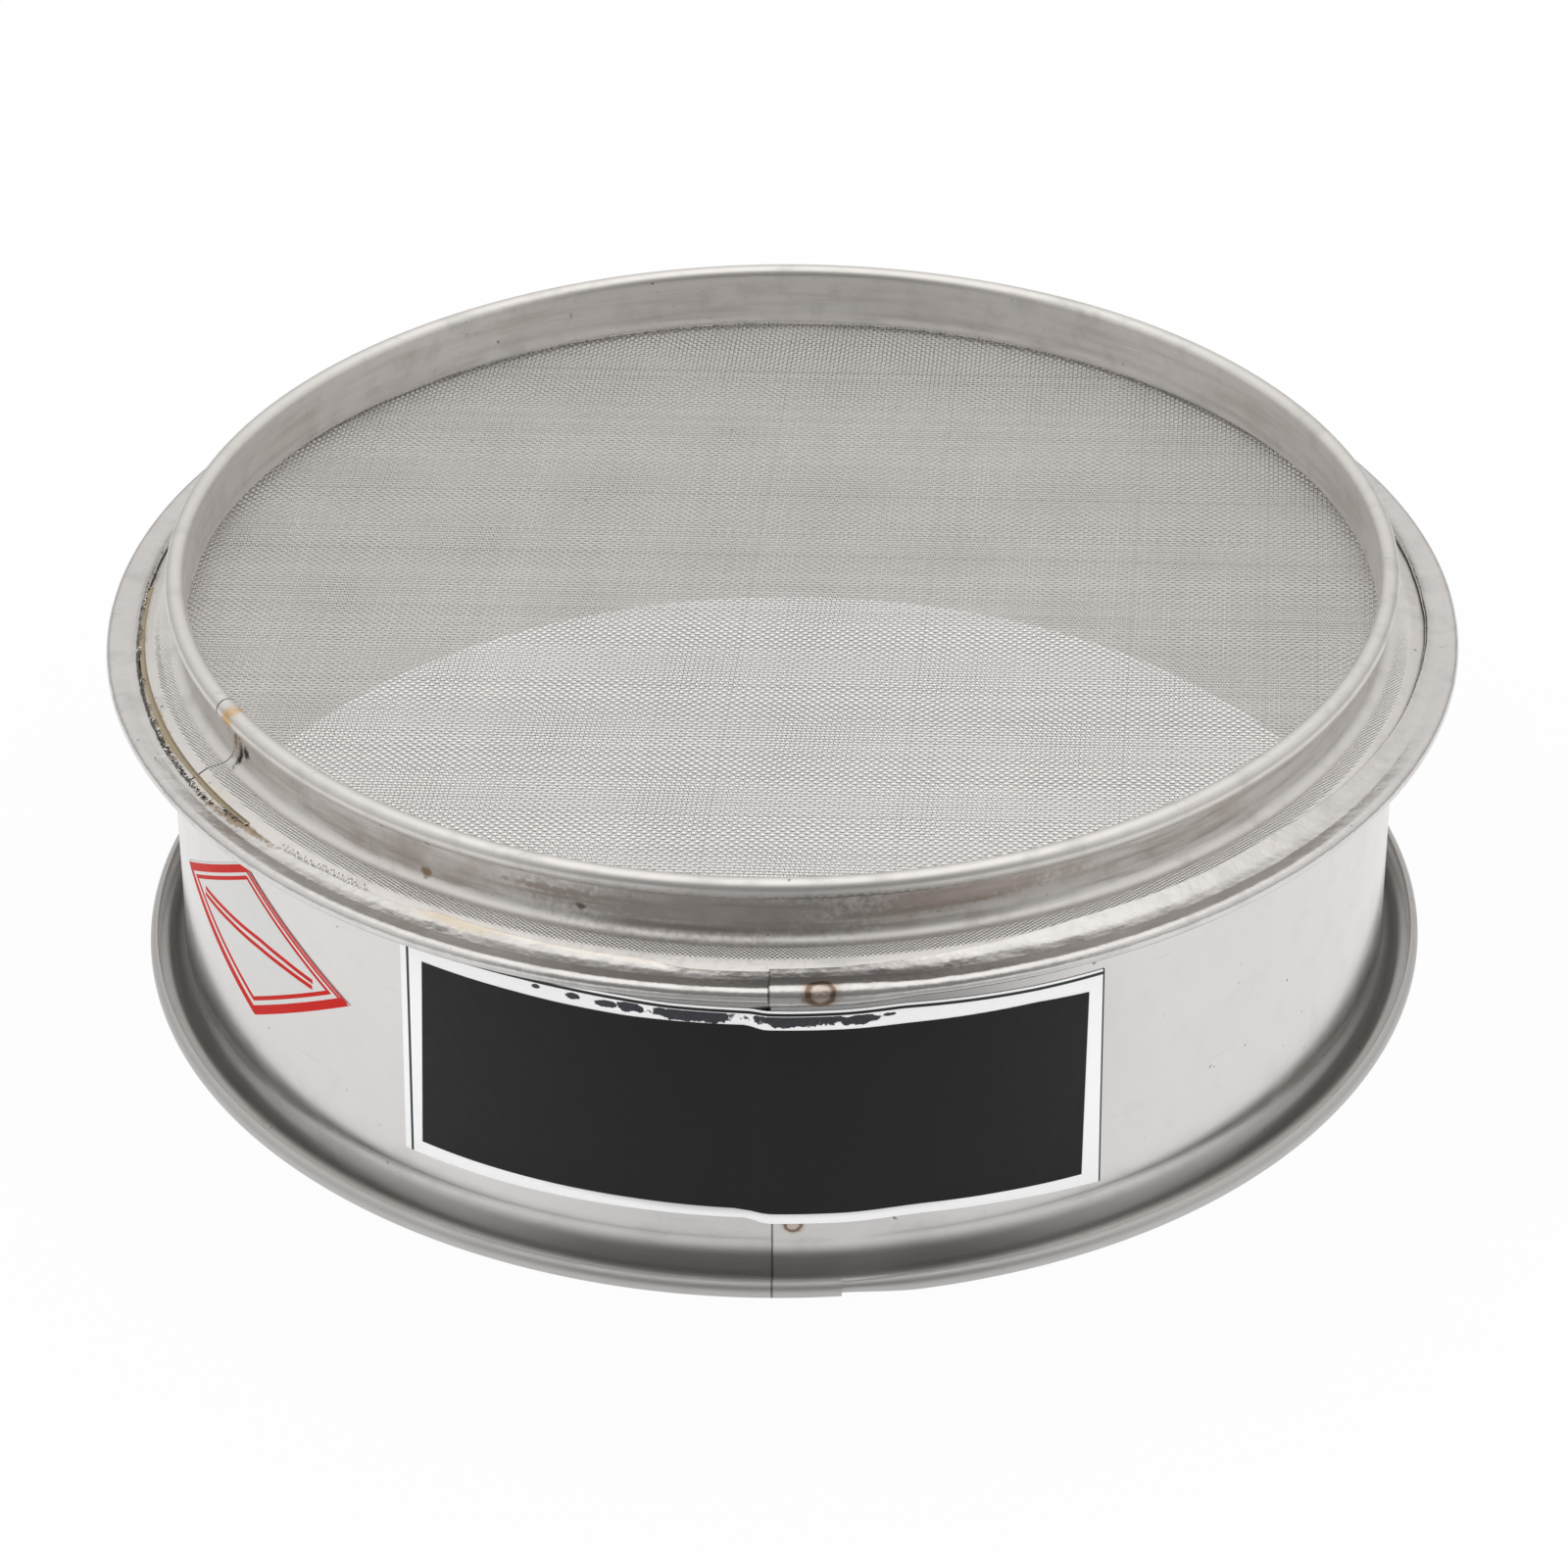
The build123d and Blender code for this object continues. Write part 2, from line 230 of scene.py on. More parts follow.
def bent_line(points, distance, bends, arc_steps, run_steps):
    """The line beside the given corners, with each corner rounded and each run divided."""
    corners = parallel(np.array(points), distance)
    steps = np.diff(corners)
    steps = steps / abs(steps)
    line = [corners[0]]
    for i, bend in enumerate(bends):
        turn = np.angle(steps[i + 1] / steps[i])
        radius = bend - distance * np.sign(turn)
        start = corners[i + 1] - steps[i] * radius * tan(abs(turn) / 2)
        line.extend(line[-1] + (start - line[-1]) * share for share in shares(run_steps[i]))
        centre = start + steps[i] * 1j * np.sign(turn) * radius
        line.extend(centre + (start - centre) * np.exp(1j * turn * share) for share in shares(arc_steps[i]))
    line.extend(line[-1] + (corners[-1] - line[-1]) * share for share in shares(run_steps[-1]))
    return np.array(line)


def shares(count):
    """Even shares of a length, without its start."""
    return [(step + 1) / count for step in range(count)]


def seat_line():
    """Top of the clamping flange, from its ridge over the knee to the hem's bead."""
    fall = (hem_middle - knee_radius) * tan(radians(shallow_fall))
    return np.array([seat_ridge + seat_height * 1j, knee_radius + knee_height * 1j,
                     hem_middle + (knee_height - fall) * 1j])


def on_seat(radius, level):
    """Point at a radius on a layer that lies a level above the clamping flange."""
    corners = parallel(seat_line(), level)
    inner, outer = (corners[0], corners[1]) if radius < corners[1].real else (corners[1], corners[2])
    return inner + (outer - inner) * (radius - inner.real) / (outer.real - inner.real)


def drum_line(strip_radius):
    """Middle of the drum's sheet from the hem's cut edge to the lip's, with its bends."""
    flange = parallel(seat_line(), -drum_sheet / 2)
    rise = (flange[1].real - wall_middle) * tan(radians(steep_fall))
    bead_bottom = on_seat(hem_middle, -drum_sheet / 2)
    land = drum_sheet / 2
    lip_tangent = lip_roll * tan(radians(lip_curl_turn / 2))
    lip_top = lip_middle + (land + lip_roll + lip_flat + lip_tangent) * 1j
    points = [
        on_seat(strip_radius, strip_middle),
        on_seat(hem_middle - strip_dip, strip_middle),
        bead_bottom + (2 * hem_roll + hem_flat) * 1j,
        bead_bottom,
        flange[1],
        wall_middle + (flange[1].imag + rise) * 1j,
        wall_middle + flare_height * 1j,
        wall_middle + flare_reach + land * 1j,
        lip_middle + land * 1j,
        lip_top,
        lip_top + np.exp(1j * radians(90 + lip_curl_turn)) * (lip_tangent + lip_edge),
    ]
    if strip_radius < knee_radius - knee_bend / 2:
        points.insert(1, parallel(seat_line(), strip_middle)[1])
    else:
        points.insert(1, on_seat((strip_radius + hem_middle - strip_dip) / 2, strip_middle))
    return points


# The bends of a sheet's line, the steps round each bend and the steps along each run
DRUM_SHAPE = ([knee_bend / 2, strip_bend, hem_roll, hem_roll, knee_bend - drum_sheet / 2, ridge_bend,
               flare_bend, land_bend, lip_roll, lip_roll],
              [1, 3, 7, 8, 3, 6, 6, 4, 8, 7], [3, 2, 1, 1, 4, 3, 14, 3, 2, 1, 1])


def skirt_line():
    """Middle of the skirt's sheet from the bead's cut edge to the foot's, with its bends."""
    roll_top = skirt_top - skirt_sheet / 2
    roll_bottom = roll_top - 2 * skirt_roll - roll_flat
    foot = parallel(seat_line(), foot_middle)
    return [
        skirt_roll_middle - skirt_roll - roll_edge + roll_bottom * 1j,
        skirt_roll_middle + roll_bottom * 1j,
        skirt_roll_middle + roll_top * 1j,
        skirt_wall_middle + roll_top * 1j,
        skirt_wall_middle + (seat_height + foot_middle) * 1j,
        foot[0].real + (seat_height + foot_middle) * 1j,
        foot[1],
        on_seat(hem_middle - skirt_tuck, foot_middle),
    ]


SKIRT_SHAPE = ([skirt_roll, skirt_roll, skirt_roll, foot_bend, ridge_bend + drum_sheet / 2 + foot_middle,
                knee_bend - foot_middle],
               [8, 8, 8, 8, 4, 3], [1, 1, 1, 5, 2, 2, 3])


# Meshes

def link(name, mesh):
    """A new object in the scene for a mesh, shaded smooth."""
    mesh.polygons.foreach_set("use_smooth", np.ones(len(mesh.polygons), dtype=bool))
    piece = bpy.data.objects.new(name, mesh)
    bpy.context.scene.collection.objects.link(piece)
    return piece


def add_mesh(name, points, faces, edges_over=40.0):
    """A mesh object from points in millimetres and faces of four corners."""
    mesh = bpy.data.meshes.new(name)
    faces = np.asarray(faces, dtype=np.int32)
    mesh.vertices.add(len(points))
    mesh.vertices.foreach_set("co", (points * MM).astype(np.float32).ravel())
    mesh.loops.add(faces.size)
    mesh.loops.foreach_set("vertex_index", faces.ravel())
    mesh.polygons.add(len(faces))
    mesh.polygons.foreach_set("loop_start", np.arange(0, faces.size, faces.shape[1], dtype=np.int32))
    mesh.update(calc_edges=True)
    mesh.validate()
    piece = link(name, mesh)
    if edges_over:
        mesh.set_sharp_from_angle(angle=radians(edges_over))
    return piece


def set_values(piece, name, values):
    """Keeps a number or a place at each point, for the materials."""
    values = np.asarray(values, dtype=np.float32)
    kind, field = ("FLOAT_VECTOR", "vector") if values.ndim > 1 else ("FLOAT", "value")
    piece.data.attributes.new(name, kind, "POINT").data.foreach_set(field, values.ravel())


def set_bake_map(piece, places):
    """Lays the sheet's points out on a square map."""
    places = places[:, :2]
    low, high = places.min(0), places.max(0)
    flat = (places - low) / (high - low) * 0.98 + 0.01
    corners = np.empty(len(piece.data.loops), dtype=np.int32)
    piece.data.loops.foreach_get("vertex_index", corners)
    layer = piece.data.uv_layers.new(name="OFBake")
    layer.data.foreach_set("uv", flat[corners].astype(np.float32).ravel())


def grid_faces(rows, columns, wrap_columns=False):
    """Faces between the points of a grid, row by row."""
    row = np.arange(rows - 1)[:, None]
    column = np.arange(columns if wrap_columns else columns - 1)[None, :]
    after = (column + 1) % columns
    quads = [row * columns + column, row * columns + after,
             (row + 1) * columns + after, (row + 1) * columns + column]
    return np.stack(quads, axis=-1).reshape(-1, 4)


def around(radius, height, angle):
    """Points from radii, heights and angles counted from the seam side."""
    turn = np.radians(angle)
    return np.stack([radius * np.sin(turn), -radius * np.cos(turn), height + 0 * turn], axis=-1)


def bevelled_loop(left, right):
    """A sheet's closed outline from its two faces, with bevelled cut edges."""
    def cut(line, other, end, inside):
        along = line[end] - line[inside]
        across = other[end] - line[end]
        return [line[end] - along / abs(along) * cut_bevel, line[end] + across / abs(across) * cut_bevel]
    first_left, last_left = cut(left, right, 0, 1), cut(left, right, -1, -2)
    first_right, last_right = cut(right, left, 0, 1), cut(right, left, -1, -2)
    return np.concatenate([first_left[::-1], left[1:-1], last_left,
                           last_right[::-1], right[-2:0:-1], first_right])


def outline(points, shape, thickness, rise=0.0):
    """Closed outline of a sheet whose middle rises off the given corners."""
    left, right = (bent_line(points, rise + side, *shape) for side in (thickness / 2, -thickness / 2))
    return bevelled_loop(left, right)


def sweep_sheet(name, angles, section_at, shift_at):
    """A bent sheet swept about the axis. section_at gives a closed outline at each angle."""
    outlines = np.array([section_at(angle) for angle in angles])
    turned = np.broadcast_to(angles[:, None], outlines.shape)
    radius, height = shift_at(outlines.real.copy(), outlines.imag.copy(), turned)
    count = outlines.shape[1]
    half = count // 2
    side = np.arange(half - 1)
    cap = np.stack([side, side + 1, count - 2 - side, count - 1 - side], axis=-1)
    faces = grid_faces(len(angles), count, wrap_columns=True)
    faces = np.concatenate([faces, cap, cap[:, ::-1] + (len(angles) - 1) * count])
    piece = add_mesh(name, around(radius, height, turned).reshape(-1, 3), faces)
    across = np.cumsum(np.concatenate([[0.0], abs(np.diff(outlines[0]))]))
    places = np.stack([wall_place(turned), np.broadcast_to(across, turned.shape),
                       np.broadcast_to(np.arange(count) >= half, turned.shape)], axis=-1).reshape(-1, 3)
    set_values(piece, "sheet", places)
    set_bake_map(piece, places)
    rim = np.where(height > HEM_UP[0], RIM_BASE + radius - strip_edge(turned), 0.0)
    set_values(piece, "rim", rim.ravel())
    return piece


# Hand work: small bends of the sheets

def waves(angle, seed, count, lowest):
    """A gentle wave round the drum, between -1 and 1."""
    random = np.random.default_rng(seed)
    heights = random.uniform(0.4, 1.0, count)
    starts = random.uniform(0.0, 2 * pi, count)
    turn = np.radians(angle)
    total = sum(h * np.sin((lowest + i) * turn + s) for i, (h, s) in enumerate(zip(heights, starts)))
    return total / heights.sum()


def wall_wave(height, angle):
    """How far the wall bows in from a true cylinder."""
    share = np.clip(height / seat_height, 0.0, 1.0)
    belly = np.sin(pi * share)
    return -wall_bow * belly * (1.0 + waves(angle + 20 * share, 3, 7, 2)) / 2


def lap_rise(angle):
    """How far the lapped sheet stands off the drum's circle."""
    share = (angle - lap_end) / (ease_end - lap_end)
    return np.where(angle > 180, 0.0, layer_step * (1 - smooth(share)))


def table_value(table, angle):
    """Value between the entries of a table of angles and values."""
    places, values = np.array(table).T
    return np.interp((angle + 180) % 360 - 180, places, values)


def strip_edge(angle):
    """Radius of the hem's cut edge."""
    jagged = edge_wave * waves(angle, 11, 9, 17) + edge_jag * waves(angle, 12, 9, 71)
    return table_value(STRIP_EDGE, angle) + jagged


def drum_angles():
    """Angles of the drum's sections, closer together at the lap."""
    near = np.arange(lap_start, ease_end, lap_step)
    far = np.linspace(ease_end, 360 + lap_start, far_steps)
    last = np.linspace(360 + lap_start, 360 + lap_end, inner_lap_steps)[1:]
    return np.concatenate([near, far, last])


def drum_section(angle):
    """Outline of the drum's sheet at an angle."""
    edge = strip_edge(angle)
    points = drum_line(edge)
    points[0] = on_seat(edge, strip_middle + table_value(STRIP_LIFT, angle))
    return outline(points, DRUM_SHAPE, drum_sheet, float(lap_rise(angle)))


def drum_shift(radius, height, angle):
    """The drum's small departures from a true turned form."""
    outer = radius > drum_radius + lip_reach / 2
    hem = hem_sag * (1 + waves(angle, 5, 6, 2))
    lip = lip_sag * (1 + waves(angle, 6, 6, 3))
    ends = -np.where(height < seat_height / 2, lip, hem)
    return radius + np.where(outer, ends, wall_wave(height, angle)), height


def skirt_section(angle):
    """Outline of the skirt's sheet, the same at every angle."""
    return outline(skirt_line(), SKIRT_SHAPE, skirt_sheet)


def skirt_shift(radius, height, angle):
    """The skirt's small departures from a true turned form."""
    share = np.clip((height - seat_height - 3) / (skirt_height - 3), 0.0, 1.0)
    return radius - skirt_sag * share * (1 + waves(angle, 9, 6, 2)), height


# Labels

def wall_face(height, angle):
    """Radius of the wall's outer face, eased over the lap's cut edge."""
    over = smooth((angle - lap_start + label_ease) / label_ease)
    return drum_radius + over * lap_rise(np.maximum(angle, lap_start)) + wall_wave(height, angle)


def add_closed(name, layers):
    """A mesh object of thin closed sheets, each between two grids of points."""
    points, faces, base = [], [], 0
    for front, back in layers:
        rows, columns = front.shape[:2]
        count = rows * columns
        face = grid_faces(rows, columns)
        grid = np.arange(count).reshape(rows, columns)
        rim = np.concatenate([grid[0, :-1], grid[:-1, -1], grid[-1, :0:-1], grid[:0:-1, 0]])
        after = np.roll(rim, -1)
        sides = np.stack([rim, after, after + count, rim + count], axis=-1)
        faces.append(np.concatenate([face, face[:, ::-1] + count, sides]) + base)
        points.extend([front.reshape(-1, 3), back.reshape(-1, 3)])
        base += 2 * count
    piece = add_mesh(name, np.concatenate(points), np.concatenate(faces))
    turn_faces_out(piece)
    return piece


def turn_faces_out(piece):
    """Points a closed mesh's faces outwards."""
    work = bmesh.new()
    work.from_mesh(piece.data)
    bmesh.ops.recalc_face_normals(work, faces=work.faces)
    work.to_mesh(piece.data)
    work.free()


def plate(name, ends, top, low, level, thickness):
    """A nameplate layer that lies at a level above the wall."""
    across, down = np.meshgrid(*(np.linspace(0, 1, steps) for steps in plate_steps))
    left = ends[0] + (ends[1] - ends[0]) * down
    right = ends[3] + (ends[2] - ends[3]) * down
    angle = left + (right - left) * across
    upper, lower = table_value(top, angle), table_value(low, angle)
    height = upper + (lower - upper) * down
    radius = wall_face(height, angle) + level
    places = np.stack([wall_place(angle - left), upper - height, wall_place(right - angle)], axis=-1)
    layer = around(radius + thickness, height, angle), around(radius, height, angle)
    piece = add_closed(name, [layer])
    set_values(piece, "sheet", np.concatenate([places.reshape(-1, 3)] * 2))
    return piece


def on_sticker(across, down):
    """Angle and height of a place on the sticker, from shares of its sides."""
    a, b, c, d = (np.array(corner) for corner in STICKER)
    across, down = across[..., None], down[..., None]
    return (1 - down) * (a + (b - a) * across) + down * (d + (c - d) * across)


def sticker():
    """The sticker's film, with a ragged lower edge."""
    across, down = np.meshgrid(*[np.linspace(0, 1, sticker_steps)] * 2)
    angle, height = np.moveaxis(on_sticker(across, down), -1, 0)
    ragged = height + sticker_jag * waves(angle * 9, 21, 6, 5) * smooth((down - 0.9) / 0.1)
    radius = wall_face(height, angle) + glue
    layer = around(radius + sticker_thickness, ragged, angle), around(radius, ragged, angle)
    return add_closed("sticker_film", [layer])


def sticker_ink():
    """The sticker's printed lines, each a thin strip on the film."""
    strips = []
    for left, right, top, low in STICKER_BARS:
        if right - left > low - top:
            across, down = np.meshgrid(np.linspace(left, right, line_steps), (top, low))
        else:
            down, across = np.meshgrid(np.linspace(top, low, line_steps), (left, right))
        strips.append(on_sticker(across, down))
    for line in STICKER_DIAGONALS:
        angles, heights = np.array(line).T
        angle = np.linspace(angles[0], angles[-1], line_steps)
        upper = np.stack([angle, np.interp(angle, angles, heights) + diagonal_width / 2], axis=-1)
        strips.append(np.array([upper, upper - (0, diagonal_width)]))
    layers = []
    for edges in strips:
        angle, height = edges[..., 0], edges[..., 1]
        radius = wall_face(height, angle) + glue + sticker_thickness
        layers.append((around(radius + ink_thickness, height, angle), around(radius, height, angle)))
    return add_closed("sticker_ink", layers)


# Woven cloth

def weave_family(name, first, last, turn, across_x, phase):
    """Wires that run one way, each a square tube with a ring at every crossing."""
    points, faces, places, tones, base = [], [], [], [], 0
    random = np.random.default_rng(500 + first + 1000 * across_x)
    reach = int(weave_radius / wire_pitch) + 2
    height = (cloth_thickness - wire_diameter) / 2
    lift = seat_height + cloth_thickness / 2
    sides = 4
    spin = np.radians(turn)
    for wire in range(first, last):
        stray = random.random() < stray_share
        offset = (wire + 0.5) * wire_pitch + random.normal() * (stray_drift if stray else wire_drift)
        tone = random.uniform(0.78, 0.9) if stray else random.uniform(0.88, 1.0)
        half = weave_radius ** 2 - offset ** 2
        if half <= wire_pitch ** 2:
            continue
        steps = np.arange(-reach, reach)
        along = (steps + 0.5) * wire_pitch
        keep = abs(along) <= half ** 0.5
        steps, along = steps[keep], along[keep]
        over = np.where((steps + wire + phase) % 2 == 0, 1.0, -1.0)
        corner = np.arange(sides) * 2 * pi / sides + pi / sides
        flat = offset + wire_corner * np.cos(corner)[None, :] + 0 * along[:, None]
        up = lift + height * over[:, None] + wire_corner * np.sin(corner)[None, :]
        run = np.broadcast_to(along[:, None], flat.shape)
        x, y = (run, flat) if across_x else (flat, run)
        place = np.stack([x * cos(spin) - y * sin(spin), x * sin(spin) + y * cos(spin), up], axis=-1)
        points.append(place.reshape(-1, 3))
        rows = len(along)
        ends = np.array([[3, 2, 1, 0], [0, 1, 2, 3] + np.array((rows - 1) * sides)])
        faces.extend([grid_faces(rows, sides, wrap_columns=True) + base, ends + base])
        places.append(np.stack([run, wire * sides + np.arange(sides) + 0 * run], axis=-1).reshape(-1, 2))
        tones.append(np.full(rows * sides, tone))
        base += rows * sides
    piece = add_mesh(name, np.concatenate(points), np.concatenate(faces), edges_over=0)
    set_values(piece, "tone", np.concatenate(tones))
    set_bake_map(piece, np.concatenate(places))
    return piece


def wire_cloth():
    """The woven cloth, in bands of wires."""
    reach = int(weave_radius / wire_pitch) + 1
    bounds = [-reach, -middle_band, middle_band, reach]
    pieces = []
    for number, (first, last) in enumerate(zip(bounds, bounds[1:]), start=1):
        pieces.append(weave_family(f"cloth_weft_{number}", first, last, weft_turn, True, 0))
        pieces.append(weave_family(f"cloth_warp_{number}", first, last, warp_turn, False, 1))
    return pieces


def tube(line, thickness, sides=5):
    """Points and faces of a round wire along a line of points."""
    along = np.gradient(line, axis=0)
    along /= np.linalg.norm(along, axis=1)[:, None]
    side = np.cross(along, (0.05, 0.03, 1.0))
    side /= np.linalg.norm(side, axis=1)[:, None]
    up = np.cross(side, along)
    turn = np.arange(sides) * 2 * pi / sides
    spread = side[:, None] * np.cos(turn)[:, None] + up[:, None] * np.sin(turn)[:, None]
    rings = line[:, None] + thickness / 2 * spread
    faces = grid_faces(len(line), sides, wrap_columns=True).tolist()
    last = (len(line) - 1) * sides
    faces += [list(range(sides))[::-1], [last + i for i in range(sides)]]
    return rings.reshape(-1, 3), faces


def frayed_wires():
    """Cut ends of the cloth that stand out of the hem, and a stray wire on the foot."""
    random = np.random.default_rng(41)
    angles = np.concatenate([random.uniform(*LONG_FRAY), random.uniform(*THICK_FRAY), np.arange(*NEAT_ROW)])
    wires = []
    for angle in angles:
        neat = angle >= NEAT_ROW[0]
        out = neat_out if neat else random.uniform(*fray_out)
        lift = neat_lift if neat else random.uniform(*fray_lift)
        turn = random.uniform(-0.9, 0.9) * (0.4 if neat else 1.0)
        share = np.linspace(0, 1, 5)
        radius = strip_edge(angle) + fray_root - (fray_root + out) * share
        level = foot_top + wire_diameter * 0.7 + lift * np.sin(share * random.uniform(1.6, 2.8))
        seat = np.array([on_seat(r, up).imag for r, up in zip(radius, level)])
        line = around(radius, seat, angle + turn * share ** 1.5)
        tone = 1.2 if neat else random.choice([0.12, 0.3, 1.0, 1.1])
        wires.append((line, wire_diameter * (1.1 if neat else 0.8), tone))
    share = np.linspace(0, 1, 9)
    stray = [start + run * share + bend * np.sin(pi * share) for start, run, bend in zip(*STRAY_WIRE)]
    wires.append((around(*stray), wire_diameter, 1.2))
    return add_wires("frayed_wires", wires)


def add_wires(name, wires):
    """A mesh object of loose wires, each with its line, thickness and tone."""
    points, faces, tones, base = [], [], [], 0
    for line, thickness, tone in wires:
        some, sides = tube(line, thickness)
        points.append(some)
        faces.extend([[corner + base for corner in face] for face in sides])
        tones.extend([tone] * len(some))
        base += len(some)
    mesh = bpy.data.meshes.new(name)
    mesh.from_pydata((np.concatenate(points) * MM).tolist(), [], faces)
    piece = link(name, mesh)
    turn_faces_out(piece)
    set_values(piece, "tone", tones)
    return piece


# Materials

# Tints that wear, heat and dirt leave, painted shade, glints and reflections, and the foil's colours
GOLD = (0.62, 0.5, 0.32)
CREAM = (0.80, 0.74, 0.64)
BROWN = (0.30, 0.21, 0.12)
# Near black for cracks and dirt, and for painted shade in the crevice under the hem's cut edge
GRIME_AND_SHADE = (0.035, 0.032, 0.028)
# Smears on the skirt's wall; towards the front they are deepened as painted shade
SMEAR = (0.42, 0.37, 0.33)
CLOUD = (0.5, 0.43, 0.39)
PIT = (0.4, 0.385, 0.37)
# The printed dots' tops: partly rubbed bright, partly a painted glint
RUBBED_AND_GLINT = (1.0, 0.99, 0.98)
# Painted shade for the flare's outer hollow
HOLLOW = (0.17, 0.16, 0.15)
DULL_LIP = (0.5, 0.49, 0.48)
CUT_LINE = (0.12, 0.11, 0.1)
# Painted shade where the skirt's inside meets the cloth
UNDER_RING_SHADE = (0.09, 0.08, 0.07)
WELD_GLOW = (0.52, 0.42, 0.34)
WELD_RIM = (0.19, 0.115, 0.07)
WELD_MIDDLE = (0.66, 0.56, 0.48)
FOIL_WHITE = (0.98, 0.98, 0.985)
# Painted shading for the middle of the foil's lower border
FOIL_PAINTED_SHADE = (0.2,) * 3
# Painted dark reflections in the foil's creases
CREASE_REFLECTION_DARK = (0.014, 0.015, 0.019)
CREASE_REFLECTION_PALE = (0.06, 0.062, 0.075)
FOIL_LINE = (0.01, 0.01, 0.011)


def fill(tree, node, values):
    """Fills or links a node's inputs."""
    for key, value in dict(values).items():
        if isinstance(value, bpy.types.NodeSocket):
            tree.links.new(value, node.inputs[key])
        else:
            node.inputs[key].default_value = value
    return node


def put(tree, kind, values=(), **settings):
    """Adds a shader node, sets it up, and fills or links its inputs."""
    node = tree.nodes.new("ShaderNode" + kind)
    for key, value in settings.items():
        setattr(node, key, value)
    return fill(tree, node, values)


def calc(tree, operation, *values, clamp=False):
    """One step of arithmetic."""
    node = put(tree, "Math", dict(enumerate(values)), operation=operation, use_clamp=clamp)
    return node.outputs[0]


def chain(operation):
    """A function that works an operation over its values from left to right."""
    def work(tree, total, *values):
        for value in values:
            total = calc(tree, operation, total, value)
        return total
    return work


times, plus, most = chain("MULTIPLY"), chain("ADD"), chain("MAXIMUM")


def vector(tree, operation, *values):
    """One step of arithmetic with vectors. A length or a dot product is a plain number."""
    node = put(tree, "VectorMath", dict(enumerate(values)), operation=operation)
    return node.outputs["Value" if operation in ("LENGTH", "DOT_PRODUCT") else "Vector"]


def parts(tree, whole):
    """The three numbers of a vector."""
    node = put(tree, "SeparateXYZ", {0: whole})
    return [node.outputs[axis] for axis in "XYZ"]


def paint(tone, share):
    """A darker shade of a tone."""
    return [c * share for c in tone]


def blend(tree, share, low, high):
    """A colour between two others."""
    low, high = (c if isinstance(c, bpy.types.NodeSocket) else [*c, 1] for c in (low, high))
    return put(tree, "Mix", {0: share, 6: low, 7: high}, data_type="RGBA").outputs[2]


def span(tree, value, low, high, to_low=0.0, to_high=1.0):
    """A value's place in a span, eased at both ends."""
    values = {"Value": value, "From Min": low, "From Max": high, "To Min": to_low, "To Max": to_high}
    return put(tree, "MapRange", values, interpolation_type="SMOOTHSTEP").outputs[0]


def noise(tree, places, scale, detail=3.0, roughness=0.55, stretch=(1, 1, 1)):
    """Noise at a scale counted in waves per millimetre."""
    scaled = vector(tree, "MULTIPLY", places, tuple(s * scale for s in stretch))
    values = {"Vector": scaled, "Scale": 1.0, "Detail": detail, "Roughness": roughness}
    return put(tree, "TexNoise", values).outputs[0]


def raggedness(tree, places, scale, size, detail=4):
    """Noise about zero, which makes an edge ragged."""
    return times(tree, calc(tree, "SUBTRACT", noise(tree, places, scale, detail=detail), 0.5), size)


def bare_tree(owner):
    """The empty node tree of a material or a world."""
    owner.use_nodes = True
    owner.node_tree.nodes.clear()
    return owner.node_tree


def new_material(name):
    """A material with its tree and a Principled shader."""
    material = bpy.data.materials.new(name)
    tree = bare_tree(material)
    shader = put(tree, "BsdfPrincipled")
    put(tree, "OutputMaterial", {"Surface": shader.outputs[0]})
    return material, tree, shader


def row_places(tree):
    """Places in the object's frame, in millimetres."""
    return vector(tree, "MULTIPLY", put(tree, "TexCoord").outputs["Object"], (1 / MM,) * 3)


def sheet_places(tree):
    """Places on the flat sheet, in millimetres."""
    return put(tree, "Attribute", attribute_name="sheet").outputs["Vector"]


def bump(tree, height, distance, normal=None):
    """A bump whose distance is in millimetres."""
    values = {"Height": height, "Distance": distance * MM}
    if normal is not None:
        values["Normal"] = normal
    return put(tree, "Bump", values).outputs[0]


def drum_places(tree):
    """Places along the drum from the seam, out from its axis, and up, in millimetres."""
    x, y, up = parts(tree, row_places(tree))
    turn = calc(tree, "ARCTAN2", x, times(tree, y, -1.0))
    out = vector(tree, "LENGTH", put(tree, "CombineXYZ", {0: x, 1: y, 2: 0.0}).outputs[0])
    return put(tree, "CombineXYZ", {0: times(tree, turn, drum_radius), 1: out, 2: up}).outputs[0]


def hem_places(tree, along):
    """Places along the drum and out from the hem's cut edge, in millimetres."""
    rim = calc(tree, "SUBTRACT", put(tree, "Attribute", attribute_name="rim").outputs["Fac"], RIM_BASE)
    return put(tree, "CombineXYZ", {0: along, 1: rim, 2: 0.0}).outputs[0]


def nearness(tree, where, centre, reach, ragged, soft=0.45):
    """1 inside an oval round a place, fading to 0 across its ragged edge."""
    offset = vector(tree, "SUBTRACT", where, centre)
    far = vector(tree, "LENGTH", vector(tree, "MULTIPLY", offset, tuple(1 / r for r in reach)))
    return span(tree, plus(tree, far, ragged), 1.0 + soft, 1.0 - soft)


def stain_and_shade(tree, colour, where, marks, ragged):
    """Lays stains and painted shade over a colour: each has a place, its reach, a tint and a strength."""
    for (angle, out, height), reach, tint, strength in marks:
        share = nearness(tree, where, (wall_place(angle), out, height), reach, ragged)
        colour = blend(tree, times(tree, share, strength), colour, tint)
    return colour


